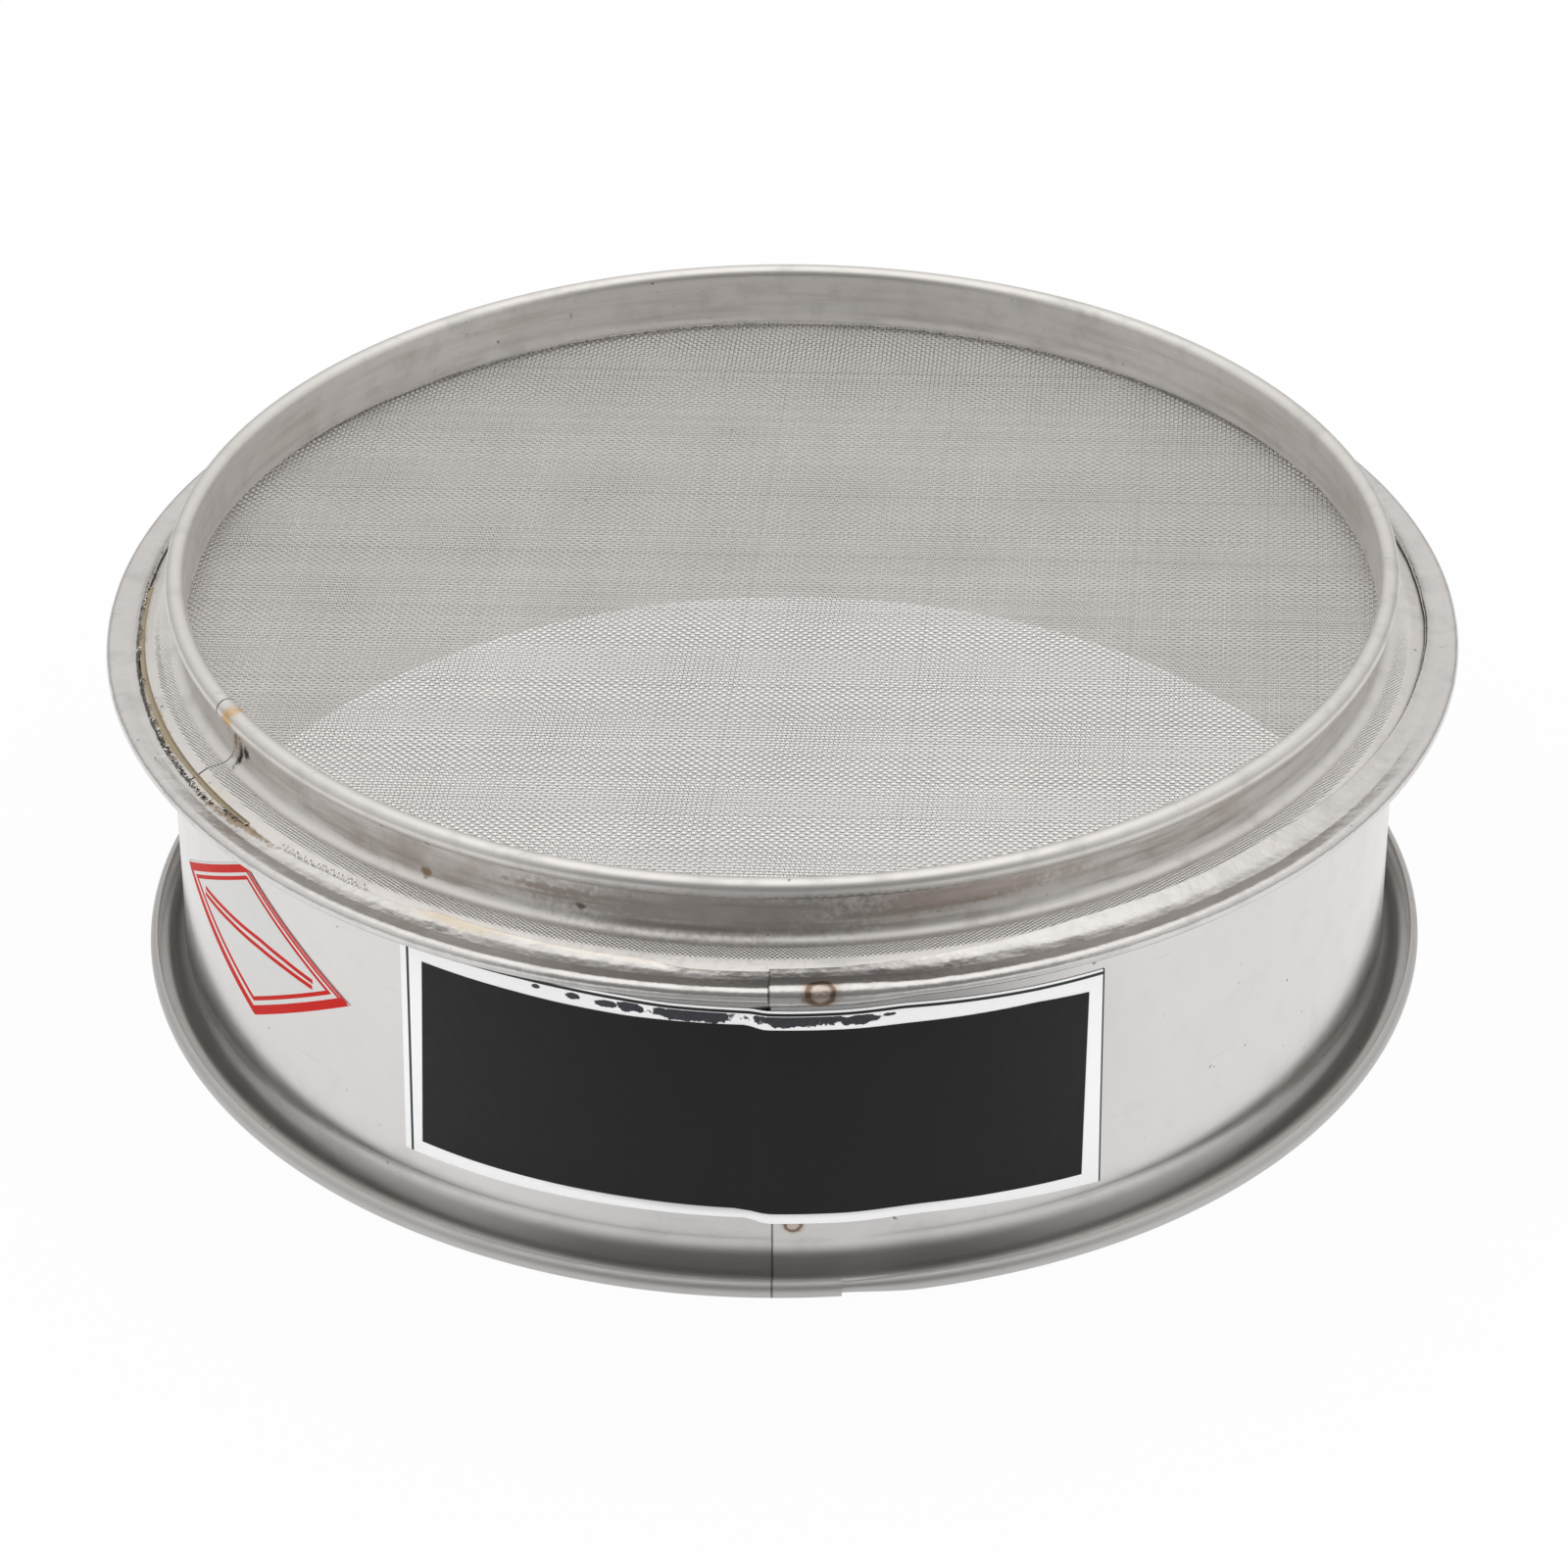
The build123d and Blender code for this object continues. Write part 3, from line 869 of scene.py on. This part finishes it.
def ring_tint(tree, colour, where, angle, out, height, radius):
    """The dark ring and pale middle that a spot weld leaves."""
    far = vector(tree, "LENGTH", vector(tree, "SUBTRACT", where, (wall_place(angle), out, height)))
    far = plus(tree, far, raggedness(tree, where, 0.9, 0.7, detail=3))
    glow = span(tree, far, radius * 1.7, radius * 1.1, 0, 0.6)
    colour = blend(tree, glow, colour, WELD_GLOW)
    rim = times(tree, span(tree, far, radius * 1.25, radius), span(tree, far, radius * 0.6, radius * 0.85))
    colour = blend(tree, times(tree, rim, 0.85), colour, WELD_RIM)
    return blend(tree, span(tree, far, radius * 0.62, radius * 0.4, 0, 0.6), colour, WELD_MIDDLE)


def steel(name, tone, gloss, satin, brush, stains=(), hem_stains_and_shade=(), rings=(), is_skirt=False):
    """Bare stainless sheet, rolled and wiped along its length, and duller where it is bent."""
    material, tree, shader = new_material(name)
    row, flat, where = row_places(tree), sheet_places(tree), drum_places(tree)
    along, out, height = parts(tree, where)
    broad = noise(tree, row, 0.03, detail=4)
    fine = noise(tree, flat, 1.0, detail=4, stretch=(0.06, 2.2, 1))
    grain = noise(tree, flat, 1.0, detail=2, stretch=(0.4, 9, 1))
    speck = noise(tree, row, 0.55, detail=1)
    patch = noise(tree, row, 0.16, detail=6, roughness=0.65)
    scratch = noise(tree, row, 1.0, detail=2, stretch=(0.12, 2.6, 0.5))
    worn = span(tree, height, *WORN_UP, 0.15, 0.8)
    colour = blend(tree, span(tree, broad, 0.3, 0.7), paint(tone, 0.96), tone)
    patchy = times(tree, span(tree, patch, 0.48, 0.7), worn)
    scratched = times(tree, span(tree, scratch, 0.7, 0.76), worn)
    for share, shade in ((span(tree, fine, 0.62, 0.8), 0.8), (patchy, 0.84), (scratched, 0.62),
                         (span(tree, speck, 0.76, 0.82), 0.45)):
        colour = blend(tree, share, colour, paint(tone, shade))
    if is_skirt:
        colour = ring_smears_and_shade(tree, colour, row, flat, along, out, height)
    else:
        colour = drum_hollow_lip_and_cut(tree, colour, flat, along, out, height)
    ragged = raggedness(tree, row, 1.1, 2.2)
    colour = stain_and_shade(tree, colour, where, stains, ragged)
    # Stains along the hem's cut edge, and painted shade in the crevice under it
    colour = stain_and_shade(tree, colour, hem_places(tree, along), hem_stains_and_shade, ragged)
    for ring in rings:
        colour = ring_tint(tree, colour, where, *ring)
    hem = times(tree, span(tree, height, *HEM_UP, 0, 0.35), span(tree, out, *HEM_OUT))
    lip = times(tree, span(tree, height, *LIP_DOWN), span(tree, out, *LIP_OUT))
    bent = most(tree, hem, lip, span(tree, height, *FLARE_DOWN, 0, 0.4))
    rough = plus(tree, span(tree, bent, 0, 1, gloss, satin), times(tree, broad, 0.06),
                 span(tree, patch, 0.45, 0.7, 0, 0.05), times(tree, fine, 0.08))
    normal = bump(tree, plus(tree, fine, times(tree, grain, 0.4)), brush)
    if is_skirt:
        band = print_band(tree, along, out, height)
        stipple = times(tree, *cloth_waves(tree, row), band)
        normal = bump(tree, stipple, 0.12, normal=normal)
        rough = plus(tree, rough, times(tree, band, 0.06))
        pits = times(tree, span(tree, stipple, -0.2, -0.7, 0, 0.35), band)
        colour = blend(tree, pits, colour, PIT)
        # The tops of the printed dots are painted lighter: partly rubbed bright, partly a painted glint
        bright = span(tree, plus(tree, stipple, times(tree, patch, 0.7)), -0.2, 0.6)
        colour = blend(tree, times(tree, bright, band), colour, RUBBED_AND_GLINT)
    else:
        on_strip = times(tree, span(tree, out, *STRIP_OUT), span(tree, height, *STRIP_UP))
        dents = times(tree, noise(tree, row, 0.22), on_strip)
        normal = bump(tree, dents, 0.25, normal=normal)
    fill(tree, shader, {"Metallic": 1.0, "Base Color": colour, "Roughness": rough, "Normal": normal})
    return material


def drum_hollow_lip_and_cut(tree, colour, flat, along, out, height):
    """Painted shade in the flare's outer hollow, the lip's dull tone and the lap's cut edge."""
    outer_face = calc(tree, "SUBTRACT", 0.5, parts(tree, flat)[2], clamp=True)
    # The outer face of the flare's hollow is painted darker, as shade
    hollow = times(tree, span(tree, height, *HOLLOW_DOWN), span(tree, out, *HOLLOW_IN), outer_face)
    colour = blend(tree, hollow, colour, HOLLOW)
    lip = times(tree, span(tree, height, *DULL_DOWN), span(tree, out, *DULL_OUT), 0.75)
    colour = blend(tree, lip, colour, DULL_LIP)
    off_cut = calc(tree, "ABSOLUTE", calc(tree, "SUBTRACT", along, lap_edge_place))
    return blend(tree, span(tree, off_cut, *CUT_NEAR, 0, 0.8), colour, CUT_LINE)


def cloth_waves(tree, row):
    """Waves across and along the cloth, one to each wire."""
    turned = put(tree, "VectorRotate", {"Vector": row, "Angle": radians(-weft_turn)},
                 rotation_type="Z_AXIS").outputs[0]
    return [calc(tree, "SINE", times(tree, place, 2 * pi / wire_pitch)) for place in parts(tree, turned)[:2]]


def print_band(tree, along, out, height):
    """1 on the foot's bend, where the cloth under it has printed through."""
    return times(tree, span(tree, out, *PRINT_OUT), span(tree, out, *PRINT_IN),
                 span(tree, height, *PRINT_DOWN), span(tree, calc(tree, "ABSOLUTE", along), *PRINT_ENDS))


def ring_smears_and_shade(tree, colour, row, flat, along, out, height):
    """Smears on the skirt's wall, most of all in front, where painted shade deepens them, and painted shade
    at the foot of its inside.
    """
    smear = noise(tree, flat, 1.0, detail=5, roughness=0.6, stretch=(0.035, 0.5, 1))
    cloud = noise(tree, row, 0.12, detail=4)
    # Painted shade: the smears and clouds grow stronger towards the front
    front = span(tree, calc(tree, "ABSOLUTE", along), *SMEAR_SHADE_FRONT, 0.35, 1)
    wall = times(tree, span(tree, out, *SMEAR_IN), span(tree, height, *SMEAR_DOWN), front,
                 span(tree, height, *SMEAR_UP))
    colour = blend(tree, times(tree, wall, span(tree, smear, 0.42, 0.72)), colour, SMEAR)
    colour = blend(tree, times(tree, wall, span(tree, cloud, 0.45, 0.75, 0, 0.7)), colour, CLOUD)
    # Painted shade in the crevice where the skirt's inside meets the cloth
    low = times(tree, span(tree, out, *INSIDE_IN), span(tree, height, *INSIDE_DOWN), 0.85)
    return blend(tree, low, colour, UNDER_RING_SHADE)


def plain(name, colour, roughness, metallic=0.0, shine=0.5):
    """A simple surface with slight unevenness, used for small trim."""
    material, tree, shader = new_material(name)
    uneven = noise(tree, row_places(tree), 0.6, detail=4)
    fill(tree, shader, {
        "Base Color": blend(tree, uneven, paint(colour, 0.9), colour),
        "Metallic": metallic,
        "Specular IOR Level": shine,
        "Roughness": span(tree, uneven, 0.2, 0.8, roughness, roughness + 0.1),
        "Normal": bump(tree, uneven, 0.005),
    })
    return material


def wire_steel(name, tone, roughness):
    """Drawn wire, each with its own tone, and painted shade on its underside."""
    material, tree, shader = new_material(name)
    own = put(tree, "Attribute", attribute_name="tone").outputs["Fac"]
    row = row_places(tree)
    broad = noise(tree, row, 0.02)
    # The lower parts of the wires are painted darker, as shade under the crossings
    share = times(tree, own, span(tree, broad, 0.3, 0.7, 0.94, 1),
                  span(tree, parts(tree, row)[2], seat_height + 0.1, seat_height + 0.36, 0.45, 1))
    rough = span(tree, broad, 0.2, 0.8, roughness, roughness + 0.08)
    colour = blend(tree, share, (0, 0, 0), tone)
    fill(tree, shader, {"Metallic": 1.0, "Base Color": colour, "Roughness": rough})
    return material


def foil_face():
    """White-silver foil: a fine black line inside its edges, painted shade on its lower border, painted dark
    reflections in its top creases.
    """
    material, tree, shader = new_material("foil")
    left, top, right = parts(tree, sheet_places(tree))
    row, where = row_places(tree), drum_places(tree)
    ragged = raggedness(tree, row, 0.8, 1.6)
    # Painted dark reflections in the creases along the foil's top
    dark = 0.0
    for angle, height, wide, tall in FOIL_CREASE_REFLECTIONS:
        centre, reach = (wall_place(angle), drum_radius, height), (wide, ANY, tall)
        dark = most(tree, dark, nearness(tree, where, centre, reach, ragged, soft=0.08))
    dark = times(tree, dark, span(tree, top, 0.95, 1.1))
    line = times(tree, span(tree, left, 1.05, 1.12), span(tree, left, 1.6, 1.53))
    upper = times(tree, span(tree, top, 0.36, 0.42), span(tree, top, 0.98, 0.9), span(tree, left, 5.0, 7.0))
    line = most(tree, line, upper, span(tree, right, 0.34, 0.25))
    # Painted shading across the middle of the foil's lower border
    foot = times(tree, span(tree, top, 35.0, 36.2), span(tree, top, 38.6, 36.6),
                 span(tree, left, 18, 30), span(tree, left, 92, 78), 0.55)
    colour = blend(tree, foot, FOIL_WHITE, FOIL_PAINTED_SHADE)
    black = blend(tree, noise(tree, row, 1.4), CREASE_REFLECTION_DARK, CREASE_REFLECTION_PALE)
    colour = blend(tree, line, blend(tree, dark, colour, black), FOIL_LINE)
    crease = noise(tree, row, 0.42, detail=5, stretch=(0.7, 0.7, 1.5))
    fill(tree, shader, {"Base Color": colour, "Roughness": 0.3, "Normal": bump(tree, crease, 0.03)})
    return material


def dress(piece, material):
    """Gives a piece its one material."""
    piece.data.materials.clear()
    piece.data.materials.append(material)


# Studio

def camera():
    """The photograph's viewpoint, in metres and radians."""
    lean, roll = 0.571473, 0.0065671
    place, lens = Vector((0.00014, -0.7240, 0.4906)), 119.09
    ahead = Vector((0, cos(lean), -sin(lean)))
    level, above = Vector((1, 0, 0)), Vector((0, sin(lean), cos(lean)))
    right = level * cos(roll) - above * sin(roll)
    up = level * sin(roll) + above * cos(roll)
    data = bpy.data.cameras.new("camera")
    data.sensor_width, data.lens = 36.0, lens
    data.clip_start, data.clip_end = 0.05, 20.0
    seen = bpy.data.objects.new("camera", data)
    seen.matrix_world = Matrix.Translation(place) @ Matrix((right, up, -ahead)).transposed().to_4x4()
    bpy.context.scene.collection.objects.link(seen)
    bpy.context.scene.camera = seen


def mix_shader(tree, share, low, high):
    """A shader between two others."""
    return put(tree, "MixShader", {0: share, 1: low.outputs[0], 2: high.outputs[0]})


def studio_light():
    """A bright tent overhead and round the sides and back, and a dark room in front."""
    world = bpy.data.worlds.new("studio")
    bpy.context.scene.world = world
    tree = bare_tree(world)
    ray = put(tree, "LightPath")
    direction = put(tree, "TexCoord").outputs["Generated"]
    lean = radians(16)
    facing = vector(tree, "DOT_PRODUCT", direction, (0, -cos(lean), sin(lean)))
    room = span(tree, facing, 0.55, 0.88)
    _, back, height = parts(tree, direction)
    behind = span(tree, back, -0.2, 0.4, 0, 0.04)
    low = span(tree, calc(tree, "SUBTRACT", height, behind), 0.02, 0.26, 0.36, 0.78)
    high = span(tree, height, 0.6, 0.97, 0, 0.5)
    light = times(tree, plus(tree, low, high), span(tree, room, 0, 1, 1, 0.26))
    seen = put(tree, "Background", {"Color": (1, 1, 1, 1), "Strength": 1.0})
    even = put(tree, "Background", {"Color": (1, 1, 1, 1), "Strength": 1.1})
    shaped = put(tree, "Background", {"Color": (1, 0.99, 0.975, 1), "Strength": light})
    lit = mix_shader(tree, ray.outputs["Is Glossy Ray"], even, shaped)
    both = mix_shader(tree, ray.outputs["Is Camera Ray"], lit, seen)
    put(tree, "OutputWorld", {"Surface": both.outputs[0]})


def floor():
    """The floor, white to the camera but for a faint shadow."""
    reach, steps, below = 3.0, 8, 0.02
    rows = np.linspace(-reach, reach, steps) / MM
    x, y = np.meshgrid(rows, rows)
    points = np.stack([x, y, 0 * x - below], axis=-1).reshape(-1, 3)
    ground = add_mesh("floor", points, grid_faces(steps, steps))
    material = bpy.data.materials.new("floor")
    tree = bare_tree(material)
    ray = put(tree, "LightPath")
    cloth = put(tree, "BsdfDiffuse", {"Color": (0.82, 0.82, 0.82, 1)})
    glow = put(tree, "Emission", {"Color": (1, 1, 1, 1), "Strength": 1.0})
    row = row_places(tree)
    x, y, _ = parts(tree, row)
    away = vector(tree, "LENGTH", row)
    # Seen in reflections, the floor's glow is darker in front of the drum and far off, and carries painted
    # shade under the drum
    middle = span(tree, calc(tree, "ABSOLUTE", x), 160.0, 40.0)
    front = times(tree, span(tree, y, -72.0, -165.0), middle, 0.8)
    dark = most(tree, front, span(tree, away, 450.0, 900.0), span(tree, away, 104.0, 98.0, 0, 0.2))
    table = put(tree, "Emission", {"Color": (1, 1, 1, 1), "Strength": span(tree, dark, 0, 1, 1, 0.12)})
    mirrored = mix_shader(tree, 0.8, cloth, table)
    seen = mix_shader(tree, 0.95, cloth, glow)
    other = mix_shader(tree, ray.outputs["Is Glossy Ray"], cloth, mirrored)
    both = mix_shader(tree, ray.outputs["Is Camera Ray"], other, seen)
    put(tree, "OutputMaterial", {"Surface": both.outputs[0]})
    dress(ground, material)


# The sieve

# Stains and painted shade: angle, distance out and height; reach in millimetres; tint; strength
DRUM_HEM_STAINS_AND_SHADE = (
    ((5, 2.0, 0), (16, 2.0, ANY), (0.42, 0.395, 0.385), 0.6),
    ((-18, 0.25, 0), (19, 0.42, ANY), CREAM, 0.6),
    ((-20, -0.05, 0), (21, 0.16, ANY), BROWN, 0.8),
    ((-28, 0.7, 0), (7, 0.8, ANY), GOLD, 0.5),
    ((-11.7, 0.4, 0), (5, 0.5, ANY), (0.85, 0.8, 0.76), 0.9),
    # Painted shade in the crevice at the hem's cut edge, on the left
    ((-75, 0.1, 0), (40, 0.2, ANY), GRIME_AND_SHADE, 0.85),
    ((-53, 0.3, 0), (8, 0.6, ANY), BROWN, 0.8),
    # Painted shade in the crevice at the hem's cut edge, on the right
    ((84, 0.05, 0), (26, 0.12, ANY), GRIME_AND_SHADE, 0.9),
)
SKIRT_HEM_STAINS_AND_SHADE = (
    # Painted shade on the foot in the crevice under the hem's cut edge, on the left
    ((-77, 0.05, 0), (36, 0.32, ANY), GRIME_AND_SHADE, 0.9),
    ((-82, -0.8, 0), (22, 0.5, ANY), GOLD, 0.35),
    ((-70, -1.3, 0), (9, 0.6, ANY), (0.5, 0.36, 0.17), 0.8),
    ((-54, -0.2, 0), (8, 0.5, ANY), BROWN, 0.85),
    ((-58.3, -1.5, 0), (4, 1.4, ANY), CREAM, 0.7),
    # Painted shade on the foot in the crevice under the hem's cut edge, on the right
    ((84, 0.1, 0), (27, 0.25, ANY), GRIME_AND_SHADE, 0.95),
    # Painted shade on the foot in the crevice under the hem's cut edge, at the front left
    ((-42, -0.1, 0), (9, 0.4, ANY), GRIME_AND_SHADE, 0.75),
)
SKIRT_STAINS = (
    ((-59.2, 96.6, 69.4), (1.5, ANY, 2.2), (0.74, 0.47, 0.2), 0.9),
    ((-59.5, 96.6, 66.9), (1.4, ANY, 1.8), (0.62, 0.38, 0.2), 0.9),
    ((-60.1, 96.6, 66.6), (0.5, ANY, 1.9), GRIME_AND_SHADE, 1.0),
    ((-58.8, 96.6, 63.4), (0.9, ANY, 1.0), GRIME_AND_SHADE, 1.0),
    ((-59.8, 96.6, 62.6), (0.75, ANY, 1.8), GRIME_AND_SHADE, 1.0),
    ((-60.5, 96.6, 64.6), (1.1, ANY, 2.6), (0.5, 0.42, 0.3), 0.7),
    # A darker band just under the bead, across the front
    ((5.6, 96.6, 68.2), (14, ANY, 1.0), (0.3, 0.28, 0.26), 0.75),
    ((-18.0, 96.6, 63.0), (0.8, ANY, 0.5), GRIME_AND_SHADE, 0.9),
    ((-33.3, 96.6, 61.8), (0.9, ANY, 0.6), BROWN, 0.9),
    ((-37.1, 96.6, 68.5), (0.4, ANY, 0.5), GRIME_AND_SHADE, 0.9),
    ((-32.2, 96.6, 68.6), (0.5, ANY, 0.4), GRIME_AND_SHADE, 0.9),
    ((-74, 100.9, 60), (20, 0.5, ANY), (0.34, 0.33, 0.32), 0.7),
    ((-20, 96.6, 65.0), (9, ANY, 0.5), (0.42, 0.33, 0.28), 0.7),
    ((16, 96.6, 65.5), (16, ANY, 1.6), (0.46, 0.37, 0.33), 0.6),
    ((12, 96.6, 64.0), (12, ANY, 0.5), (0.45, 0.38, 0.33), 0.6),
    ((-7, 96.6, 64.5), (24, ANY, 3.6), (0.42, 0.39, 0.37), 0.6),
)

# Painted dark reflections in the foil's creases: angle and height, and their reach along and up
FOIL_CREASE_REFLECTIONS = ((-21.6, 49.5, 0.7, 0.4), (-18.3, 49.1, 1.2, 0.6), (-15.3, 48.7, 2.1, 0.6),
                (-13.2, 48.8, 2.4, 1.0), (-7.8, 48.4, 7.2, 1.1), (1.0, 48.3, 6.3, 1.2),
                (6.2, 48.0, 3.3, 0.8), (8.9, 48.3, 0.9, 0.3))

# Tints round the spot welds: angle, distance out, height and radius
WELD_RINGS = ((2.75, 109.1, 59.0, 1.9), (0.6, 100.55, 10.5, 1.3))


def add(piece, node, material):
    """Places a piece: the part's node that it replaces, and its material."""
    if node:
        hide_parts(node)
    dress(piece, material)
    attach(piece, "root")


def main():
    bpy.context.scene.view_settings.view_transform = "Standard"
    camera()
    studio_light()
    floor()

    drum_steel = steel("drum steel", (0.74, 0.72, 0.705), 0.14, 0.42, 0.0005,
                       hem_stains_and_shade=DRUM_HEM_STAINS_AND_SHADE, rings=WELD_RINGS)
    skirt_steel = steel("skirt steel", (0.80, 0.775, 0.75), 0.36, 0.36, 0.001,
                        stains=SKIRT_STAINS, hem_stains_and_shade=SKIRT_HEM_STAINS_AND_SHADE, is_skirt=True)
    wire = wire_steel("cloth wire", (0.97, 0.945, 0.915), 0.24)
    solder = plain("solder", (0.5, 0.42, 0.3), 0.45, metallic=1.0)
    print_face = plain("panel print", (0.014, 0.014, 0.0155), 0.5, shine=0.25)
    film = plain("sticker film", (0.72, 0.715, 0.70), 0.35)
    red = plain("sticker ink", (0.62, 0.02, 0.014), 0.5, shine=0.1)

    drum = sweep_sheet("drum_sheet", drum_angles(), drum_section, drum_shift)
    add(drum, "drum_shell", drum_steel)
    gap = degrees(skirt_joint_gap / skirt_wall_middle)
    turns = np.linspace(skirt_joint_angle + gap / 2, skirt_joint_angle + 360 - gap / 2, skirt_steps)
    skirt = sweep_sheet("skirt_sheet", turns, skirt_section, skirt_shift)
    add(skirt, "skirt_ring", skirt_steel)
    for piece in wire_cloth():
        add(piece, "wire_cloth", wire)
    add(frayed_wires(), None, wire)

    foil = plate("foil_border", FOIL_ENDS, FOIL_TOP, FOIL_LOW, glue, foil_thickness)
    add(foil, "nameplate_foil", foil_face())
    panel_level = glue + foil_thickness + panel_gap
    panel = plate("dark_panel", PANEL_ENDS, PANEL_TOP, PANEL_LOW, panel_level, panel_thickness)
    add(panel, "nameplate_panel", print_face)
    add(sticker(), "inspection_sticker", film)
    add(sticker_ink(), None, red)

    welds = {"seam_welds": drum_steel, "skirt_joint_weld": skirt_steel, "solder_seal": solder}
    for node, material in welds.items():
        dress(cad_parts[node], material)


main()
